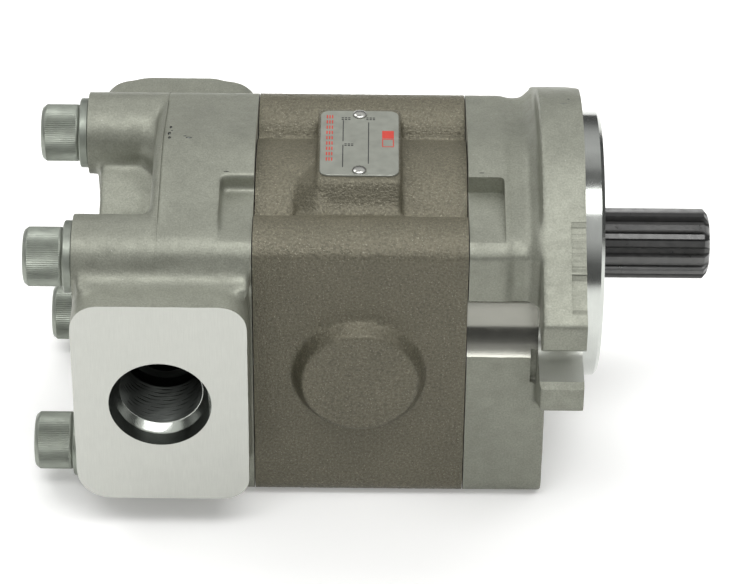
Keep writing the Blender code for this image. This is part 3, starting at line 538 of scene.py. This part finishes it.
def rear_blank():
    """The rear cover as cast: slab, four columns, web and two port blocks, long where a cutter trims them."""
    inlet = rounded_rectangle((-153, -55.1), (-100.4, 18.1), (10.5, 8, 8, 8.5))
    outlet = rounded_rectangle((-151, -54.8), (-100.7, 17.8), (9, 8, 10, 10))
    crown = rounded_rectangle((-146, -50), (-106, 18.9), (9, 8, 10, 10))
    crest = [(34, 16), (20, 13.4), (16, 11.3), (11, 8.4), (5.5, 4.7), (0.5, 3.8)]
    web = [(-34, -41.5), (34, -41.5)] + crest + mirrored(crest)
    fillet = arc((-51.1, 24.1), 6, 270, 338, 10) + [(-43.2, 25.6), (-38, 17), (-51.1, 15)]
    far_fillet = mirrored(fillet)
    edge = [(SLAB_REAR, 3.2), (SLAB_REAR + 0.9, 1.4), (SLAB_REAR + 2.3, 0.4), (SLAB_REAR + 4, 0), (-90, 0)]
    shapes = [loft([(x, cover_outline(inset)) for x, inset in edge])]
    columns = [circle(centre, LOBE_RADIUS, 64) for centre in BOLT_PLACES]
    shapes += [prism(column, COLUMN_REAR - 4, SLAB_REAR + 3) for column in columns]
    shapes += [prism(web, -149, SLAB_REAR + 3), prism(fillet, -151.5, -100), prism(far_fillet, -149, -101)]
    shapes += [column_fillet(centre) for centre in BOLT_PLACES]
    shapes += [prism(inlet, INLET_FACE - 8, -30, "Y"), prism(outlet, 30, OUTLET_FACE + 8, "Y")]
    shapes.append(prism(crown, 30, OUTLET_FACE + 8, "Y"))
    return shapes


def back_pocket(low, high):
    """The pocket cast in a cover's back next to the joint."""
    floor, above = 28.3, 50
    return prism(rounded_rectangle((low, -50), (high, -14), (1.6,) * 4, 5), floor, above, "Z")


def pit(x, y, z, width, length):
    """A small blemish in a casting's skin, long along X when the length is the larger. Its faces get the bore
    slot's near-black painted shade.
    """
    angles = [math.radians(-90 + 20 * k) for k in range(10)]
    rows = [(x + length * math.sin(a), max(0.02, width * math.cos(a))) for a in angles]
    return turned(rows, (y, z), 10, "X", CUT_BORE_SHADE)


def port_mouth(side, face, mouth, thread):
    """A port's bevelled counterbore, with its rows measured outwards from the port's face."""
    rows = [(2, mouth), (0, mouth), (-3.9, mouth - 1.0), (-4.6, mouth - 1.35)]
    rows += [(-6.9, thread + 0.35), (-7.1, 3)]
    return turned([(face + side * y, radius) for y, radius in rows], (PORT_X, MIDDLE_Z), 72, "Y", CUT_TURNED)


def port_bore(side, face, thread, drill):
    """A port's helical thread and the drilling behind it."""
    pitch, crest = 1.81, 0.95
    start, end = face - side * 6.5, face - side * 25

    def plain_row(y, radius):
        return (y, lambda angle: radius)

    def thread_row(y):
        def radius_at(angle):
            phase = (abs(y - face) / pitch + side * angle / (2 * math.pi)) % 1
            depth = min(abs(y - start) + 0.4, abs(y - end), 1.2) / 1.2
            return thread + crest * depth * (1 - abs(2 * phase - 1))

        return (y, radius_at)

    count = 110
    rows = [thread_row(start + (end - start) * i / count) for i in range(count + 1)]
    rows += [plain_row(end - side * 0.2, thread), plain_row(end - side * 3.2, thread - 0.5)]
    rows += [plain_row(end - side * 3.4, drill), plain_row(side * 8, drill)]
    return rippled(rows, (PORT_X, MIDDLE_Z), 72, "Y", CUT_BORE_SHADE)


def make_rear_cover():
    cover, tools = solid("rear", rear_blank()), []
    remesh(cover, 0.85)
    combine(cover, "DIFFERENCE", [back_pocket(-109.5, -80)], tools)
    remesh(cover, 0.8)
    smooth(cover, 10)
    roughen(cover, "die_skin", 6, 0.25)
    box = rounded_rectangle((INLET_FACE, -90), (OUTLET_FACE, 60), (1,) * 4, 2)
    parting_line = prism(cover_outline(-0.2), -128.15, -127.85)
    combine(cover, "UNION", [parting_line], tools)
    combine(cover, "INTERSECT", [prism(box, COLUMN_REAR, REAR_JOINT, "X", CUT_FLAT)], tools)
    combine(cover, "DIFFERENCE", [pit(*spot) for spot in REAR_PITS], tools)
    for side, face, mouth, thread, drill in PORTS:
        combine(cover, "DIFFERENCE", [port_mouth(side, face, mouth, thread)], tools)
        combine(cover, "DIFFERENCE", [port_bore(side, face, thread, drill)], tools)
    combine(cover, "DIFFERENCE", bolt_holes(-170, -90, 40), tools)
    gallery = [(PORT_X, GALLERY_RADIUS), (-90, GALLERY_RADIUS)]
    galleries = [turned(gallery, (y, MIDDLE_Z), 32, "X", CUT_BORE_SHADE) for y in (-GALLERY_Y, GALLERY_Y)]
    combine(cover, "DIFFERENCE", galleries, tools)
    place("rear_cover_casting", baked(cover, tools), CUT_COVER, "rear_cover")


def front_blank():
    """The front cover as cast: joint rim, waist, lower block, flange and ears."""
    block = rounded_rectangle((-SIDE_Y, BASE_Z), (SIDE_Y, -6), (6, 6, 2, 2))
    ridge = [(-45, 0), (-25.5, 0), (-24.3, -0.15), (-23, 0.05), (-21.5, 0.7), (-11, 0.7)]
    shapes = [loft([(x, cover_outline(inset)) for x, inset in ridge]), flange_blend()]
    shapes += [prism(block, -45, -10), prism(flange_outline(), FLANGE_BACK, 0.9)]
    return shapes


def slot_core(side):
    outline = [(70, 5.75)] + arc((SLOT_Y, 0), 5.75, 90, 270, 24) + [(70, -5.75)]
    return prism([(side * y, z) for y, z in outline], -15, 6, "X", CUT_FLAT)


def slot_mouth(side):
    outline = [(68, 10.5), (63.25, 5.7), (63.25, -5.7), (68, -10.5)]
    return prism([(side * y, z) for y, z in outline], -15, 6)


def channel_tool(side):
    """The channel beside the cover that gives a mounting bolt's head room, with a sloping lower lip.

    Its section runs up from the lip's lower edge. tilts are how far the wall faces up, in degrees, at lengths
    along it.
    """
    lengths = [0, 2, 3.4, 4.8, 9.3, 10.3, 15.2, 17.5, 20, 23, 26]
    tilts = [52, 47, 40, 30, 19, 12, 4, -12, -35, -60, -75]
    step, outside, y, z = 0.4, -60, -SIDE_Y, -11.6
    run_out = math.radians(53)
    outline = [(outside, -13.2), (y - 2 * math.sin(run_out), z - 2 * math.cos(run_out))]
    for i in range(round(lengths[-1] / step)):
        outline.append((y, z))
        tilt = math.radians(np.interp((i + 0.5) * step, lengths, tilts))
        y, z = y + step * math.sin(tilt), z + step * math.cos(tilt)
    outline += [(y, z), (outside, z)]
    return prism([(-side * y, z) for y, z in outline], -50, FLANGE_BACK, "X", CUT_CHANNEL)


def flange_blend():
    """The hollow blend from the waist up to the flange, down to the channels at both sides."""
    section = [(-18.6, 1.9), (-17.4, 0.6), (-16.3, 0.1), (-15.4, -0.8), (-14.8, -1.8), (-13, -1.8)]
    section += [(-13, 3), (-17, 3)]
    backs = []
    for x, inset in section:
        foot = [(SIDE_Y - inset, -9)]
        backs.append((x, foot + cover_outline(inset)[9:-9] + mirrored(foot)))
    return tube([[(x, *back[i]) for x, back in backs] for i in range(len(backs[0][1]))])


def rim_cut(start, end, depth, ripple, waves):
    """A shallow cut on the flange's sloping front edge, from one share of its length to another."""
    upper, lower, steps = Vector((-25.8, 40.5)), Vector((-63.9, 15.1)), 150
    run = lower - upper
    outward = Vector((run.y, -run.x)).normalized()
    points = []
    for i in range(steps + 1):
        along = i / steps
        share = start + (end - start) * along
        turns = waves * along * 2 * math.pi
        wave = math.sin(turns) + 0.6 * math.sin(1.7 * turns + 1)
        fade = min(1, along * 7, (1 - along) * 7)
        points.append(upper + run * share + outward * (0.1 - fade * (depth + 0.1 + ripple * wave)))
    points += [upper + run * end + outward * 3, upper + run * start + outward * 3]
    return prism([tuple(point) for point in points], -4.5, 2)


def make_front_cover():
    cover, tools = solid("front", front_blank()), []
    remesh(cover, 0.85)
    smooth(cover, 9)
    roughen(cover, "blasted_skin", 5, 0.22)
    combine(cover, "INTERSECT", [kept_between(FRONT_JOINT, 0)], tools)
    combine(cover, "DIFFERENCE", [channel_tool(-1), channel_tool(1)], tools)
    combine(cover, "DIFFERENCE", [slot_core(-1), slot_core(1)], tools)
    combine(cover, "DIFFERENCE", [slot_mouth(-1), slot_mouth(1)], tools)
    combine(cover, "DIFFERENCE", [pit(*spot) for spot in FRONT_PITS], tools)
    rim_cuts = [rim_cut(0.28, 0.63, 0.42, 0.028, 11), rim_cut(0.645, 0.92, 0.4, 0, 1)]
    combine(cover, "DIFFERENCE", rim_cuts, tools)
    gaps = [rounded_rectangle((side * 56 - 14, -21), (side * 56 + 14, -9), (1,) * 4, 3) for side in (-1, 1)]
    combine(cover, "DIFFERENCE", [prism(gap, -15.1, FLANGE_BACK) for gap in gaps], tools)
    combine(cover, "DIFFERENCE", [back_pocket(-50, -23.7)], tools)
    pilot = [(-2, PILOT_RADIUS), (5.3, PILOT_RADIUS), (PILOT_LENGTH, 40.3)]
    combine(cover, "UNION", [turned(pilot, (0, 0), 160, "X", CUT_TURNED)], tools)
    passage = [(-50, 11.6), (-4, 11.6), (-4, 20), (3.25, 20), (3.25, 21.3), (5.05, 21.3), (5.05, 20), (9, 20)]
    combine(cover, "DIFFERENCE", [turned(passage, (0, 0), 96, "X", CUT_BORE_SHADE)], tools)
    combine(cover, "DIFFERENCE", bolt_holes(-50, -12), tools)
    place("front_cover_casting", baked(cover, tools), CUT_COVER, "front_cover")


def housing_blank():
    """The gear housing as cast, with its nameplate pad and the buttress beside it."""
    half = [(19.5, 36.2), (23.6, 29.8), (27.2, 27.2), (28.6, 22)]
    pad = mirrored(half) + half
    buttress = [(-78, -18.9, 35.2), (-78, -5, 34), (-80.5, -18.9, 35), (-80.5, -5, 32), (-88.5, -11, 28.6)]
    buttress += [(-86.5, -23, 25.5), (-80.5, -27.5, 27.4), (-78, -27.5, 27.4), (-88.5, -11, 24)]
    buttress += [(-86.5, -21, 20), (-78, -5, 24), (-78, -25, 20)]
    return [prism(housing_outline(), -110, -24), prism(pad, -80.5, -55), hull(buttress)]


def make_gear_housing():
    """The gear housing, with a blank round boss on each side."""
    housing, tools = solid("housing", housing_blank()), []
    remesh(housing, 0.8)
    smooth(housing, 8)
    boss = [(40, 20.9), (44.3, 20.4), (45, 19.8), (48.4, 18), (49, 17.4)]
    for side in (-1, 1):
        profile = [(side * y, radius) for y, radius in boss]
        combine(housing, "UNION", [turned(profile, (-67, MIDDLE_Z), 96, "Y")], tools)
    remesh(housing, 0.6)
    smooth(housing, 2)
    roughen(housing, "sand_skin", 1.2, 0.26)
    combine(housing, "INTERSECT", [kept_between(REAR_JOINT + 0.3, FRONT_JOINT - 0.3)], tools)
    bores = [prism(figure_eight(BORE_RADIUS), -110, -20, "X", CUT_BORE_SHADE)] + bolt_holes(-110, -20)
    combine(housing, "DIFFERENCE", bores, tools)
    materials = [HOUSING, IRON_CUT, BORED_SHADE]
    place("gear_housing_casting", baked(housing, tools), materials, "gear_housing")


# Fasteners, plate and shaft


def bolt_shapes():
    """A socket-head screw along +X, with a straight-knurled head whose underside is at zero."""
    ridges, knurl_depth = 84, 0.22

    def row(x, radius, knurl=0):
        return (x, lambda angle: radius - knurl * (0.5 + 0.5 * math.cos(ridges * angle)))

    rows = [row(-12, 7.6), row(-11.75, 8.15), row(-10.9, 8.8), row(-10.6, 9, 0.1), row(-10.2, 9, knurl_depth)]
    rows += [row(-1.2, 9, knurl_depth), row(-0.9, 9, 0.05), row(-0.3, 8.8), row(0, 8.5), row(0.01, 6)]
    rows += [row(137, 6), row(138, 5)]
    return [rippled(rows, (0, 0), 4 * ridges)]


def make_bolts():
    corner = 5.77
    angles = [math.pi * (k / 3 + 1 / 6) for k in range(6)]
    hexagon = [(corner * math.cos(a), corner * math.sin(a)) for a in angles]
    socket = [prism(hexagon, -13, -6)]
    lead = [turned([(-12.5, 6.4), (-12, 5.9), (-11.4, 5.2)], (0, 0), 48)]
    washer = [(0, 6.4), (0, 10.6), (-0.35, 11), (-2.45, 11), (-2.8, 10.6), (-2.8, 6.4)]
    for name, (y, z) in zip(BOLT_NAMES, BOLT_PLACES):
        screw = make_mesh("screw", bolt_shapes(), ("DIFFERENCE", socket), ("DIFFERENCE", lead))
        at = (COLUMN_REAR - 3, y, z)
        place(f"screw_{name}", screw, [ZINC], f"cover_bolt_{name}", at=at)
        flat = make_mesh("washer", [ring(washer)])
        at = (COLUMN_REAR - 0.1, y, z)
        place(f"washer_{name}", flat, [ZINC], f"bolt_washer_{name}", at=at)


def plate_outline(inset):
    x, y = PLATE_HALF_X - inset, PLATE_HALF_Y - inset
    return rounded_rectangle((-x, -y), (x, y), (2.8 - inset,) * 4, 6)


def printed(x, y, width, length):
    """A printed block on the plate, from its low corner."""
    outline = [(x, y), (x + width, y), (x + width, y + length), (x, y + length)]
    return prism(outline, PLATE_TOP - 0.01, PLATE_TOP + 0.04, "Z")


def make_nameplate():
    """The plate, its two rivets, and plain printed rules and blocks in place of any writing."""
    sheet = [loft([(0, plate_outline(0)), (0.55, plate_outline(0)), (PLATE_TOP, plate_outline(0.18))], "Z")]
    holes = [turned([(-1, 1.3), (2, 1.3)], (0, y), 24, "Z") for y in (-RIVET_Y, RIVET_Y)]
    plate = make_mesh("plate", sheet, ("DIFFERENCE", holes))
    place("nameplate_sheet", plate, [PLATE], "nameplate", at=NAMEPLATE_AT)
    profile = [(-5, 0.8), (-4, 1.2), (0.71, 1.2)]
    profile += [(0.72, 2.25), (0.95, 2.2), (1.25, 1.95), (1.5, 1.5), (1.68, 0.9), (1.74, 0.3)]
    for name, y in (("front", -RIVET_Y), ("rear", RIVET_Y)):
        rivet = make_mesh("rivet", [turned(profile, (0, y), 32, "Z")])
        place(f"rivet_{name}", rivet, [RIVET], f"nameplate_rivet_{name}", at=NAMEPLATE_AT)
    black = [printed(-5.2, -13.4, 0.28, 12), printed(-5.2, 0.6, 0.28, 11.5), printed(2.6, -11.5, 0.28, 22.5)]
    black += [printed(x, y, 0.7, 0.45) for x in (-5.6, -4.6, -3.6, 2.0, 3.0, 4.0) for y in (12.4, 13.3)]
    black += [printed(x, y, 0.7, 0.4) for x in (-4.6, -3.6, -2.6) for y in (-1.9, -1.1)]
    red = [printed(6.9, 2.2, 3.6, 4.2)]
    red += [printed(6.9, y, 3.6, 0.3) for y in (-2.4, 1.6)]
    red += [printed(x, -2.1, 0.3, 3.7) for x in (6.9, 10.2)]
    red += [printed(x, 13.2 - 2.9 * k, 0.4, 1.7) for x in (-10.2, -9.4, -8.6) for k in range(9)]
    for name, shapes, finish in (("plate_rules", black, PRINT_BLACK), ("plate_blocks", red, PRINT_RED)):
        place(name, make_mesh(name, shapes), [finish], None, at=NAMEPLATE_AT)


def gear_wheel(turn):
    module = CENTRE_DISTANCE / GEAR_TEETH
    return prism(toothed_outline(GEAR_TEETH, module, 25, 21.58, 14.8, 0.25, turn, 10), GEAR_LOW, GEAR_HIGH)


def spline_section(x, outer, scale=1):
    outline = toothed_outline(SPLINE_TEETH, 25.4 / 16, 30, outer, SPLINE_ROOT, 0.1, 90, 5)
    return (x, [(y * scale, z * scale) for y, z in outline])


def make_drive_shaft():
    """The drive gear and its journals, with the involute spline and its rounded end."""
    neck = 7.6
    sections = [spline_section(neck - 4, SPLINE_OUTER), spline_section(39.3, SPLINE_OUTER)]
    sections += [spline_section(40.5, SPLINE_ROOT + 0.9, 0.93), spline_section(41.1, SPLINE_ROOT + 0.2, 0.85)]
    profile = [(-98.7, 10), (-97.7, JOURNAL_RADIUS), (neck - 1, JOURNAL_RADIUS), (neck, 10)]
    journal = turned(profile, (0, 0), 96)
    drilling = turned([(43, 3.9), (39.1, 1.4), (35.1, 1.4), (34.4, 0.2)], (0, 0), 32)
    joined = [("UNION", [gear_wheel(-90)]), ("UNION", [loft(sections)])]
    mesh = make_mesh("shaft", [journal], *joined, ("DIFFERENCE", [drilling]))
    place("drive_shaft", mesh, [SHAFT_STEEL], "drive_gear_shaft", "drive_rotor", angle=28)


def make_driven_shaft():
    profile = [(-98.7, 10), (-97.7, JOURNAL_RADIUS), (-36.3, JOURNAL_RADIUS), (-35.3, 10)]
    mesh = make_mesh("driven", [turned(profile, (0, 0), 96)], ("UNION", [gear_wheel(105)]))
    at = (0, 0, DRIVEN_Z)
    place("driven_shaft", mesh, [GROUND_STEEL], "driven_gear_shaft", "driven_rotor", at, 28)


def finish_inner_nodes():
    """Materials for the CAD nodes that keep their own shape."""
    finishes = {
        "block": BLOCK_ALLOY,
        "bush": BRONZE,
        "seal": RUBBER,
        "backup": NYLON,
        "spring": GROUND_STEEL,
        "circlip": GROUND_STEEL,
        "suction": GROUND_STEEL,
        "pressure": GROUND_STEEL,
    }
    for name, node in frame["nodes"].items():
        finish = finishes.get(name.split("_")[-1])
        if finish:
            node.data.materials.clear()
            node.data.materials.append(finish)


# Stage, light and camera


def make_floor():
    mesh = make_mesh("floor", [prism(circle((0, 0), 4, 64), -0.02, -0.0002, "Z")])
    floor = bpy.data.objects.new("floor", mesh)
    bpy.context.scene.collection.objects.link(floor)
    white = (0.93, 0.93, 0.92, 1)
    glow = {"Emission_Color": white, "Emission_Strength": 0.25}
    mesh.materials.append(Shader("floor_paper", Base_Color=white, Roughness=0.9, **glow).material)
    floor.visible_diffuse = False


def add_light(name, position, target, size, power):
    light = bpy.data.lights.new(name, "AREA")
    light.shape = "RECTANGLE"
    light.size, light.size_y = size
    light.energy = power
    lamp = bpy.data.objects.new(name, light)
    lamp.location = position
    lamp.rotation_euler = (Vector(target) - Vector(position)).to_track_quat("-Z", "Y").to_euler()
    bpy.context.scene.collection.objects.link(lamp)
    return lamp


def light_world():
    """A bright ring of sky, with a dimmer horizon and top."""
    world = bpy.data.worlds.new("studio")
    bpy.context.scene.world = world
    world.use_nodes = True
    tree = world.node_tree
    background = tree.nodes["Background"]
    coordinates = tree.nodes.new("ShaderNodeTexCoord")
    split = tree.nodes.new("ShaderNodeSeparateXYZ")
    ramp = tree.nodes.new("ShaderNodeValToRGB")
    tree.links.new(coordinates.outputs["Generated"], split.inputs[0])
    tree.links.new(split.outputs["Z"], ramp.inputs[0])
    tree.links.new(ramp.outputs[0], background.inputs["Color"])
    elements = ramp.color_ramp.elements
    levels = [(0.02, 0.08), (0.3, 0.15), (0.6, 0.56), (0.85, 0.66), (0.97, 0.45), (0.985, 0.2)]
    for height, level in levels:
        elements.new(height).color = (level, level, level, 1)
    elements[0].color = (0.15, 0.15, 0.145, 1)
    elements[len(elements) - 1].color = (0.15, 0.15, 0.15, 1)
    background.inputs["Strength"].default_value = 1.0


def make_camera():
    """Looks at the pump from its suction side and well above, nearly level."""
    tilt, roll, distance = math.radians(36.5), math.radians(0.53), 1.040
    forward = Vector((0, math.cos(tilt), -math.sin(tilt)))
    level = Vector((1, 0, 0))
    upright = level.cross(forward)
    right = math.cos(roll) * level + math.sin(roll) * upright
    up = -math.sin(roll) * level + math.cos(roll) * upright
    target = TO_FRAME @ Vector((-65.56, 0, -20))
    data = bpy.data.cameras.new("camera")
    data.sensor_width = 36
    data.lens = 162.5
    data.clip_start = 0.05
    camera = bpy.data.objects.new("camera", data)
    turn = Matrix((right, up, -forward)).transposed().to_4x4()
    camera.matrix_world = Matrix.Translation(target - forward * distance) @ turn
    bpy.context.scene.collection.objects.link(camera)
    bpy.context.scene.camera = camera


make_camera()
make_rear_cover()
make_gear_housing()
make_front_cover()
make_bolts()
make_nameplate()
make_drive_shaft()
make_driven_shaft()
finish_inner_nodes()
make_floor()
add_light("front_softbox", (0.1, -0.42, 1.24), (0, 0, 0.05), (1.4, 0.42), 8.8)
rear_light = add_light("rear_softbox", (0.1, 1.15, 1.45), (0, 0, 0.05), (3.2, 1.4), 22)
rear_light.visible_glossy = False
add_light("left_softbox", (-1.0, 0.5, 1.2), (-0.08, 0, 0.08), (0.6, 0.6), 3.5)
light_world()
bpy.context.scene.view_settings.view_transform = "Standard"
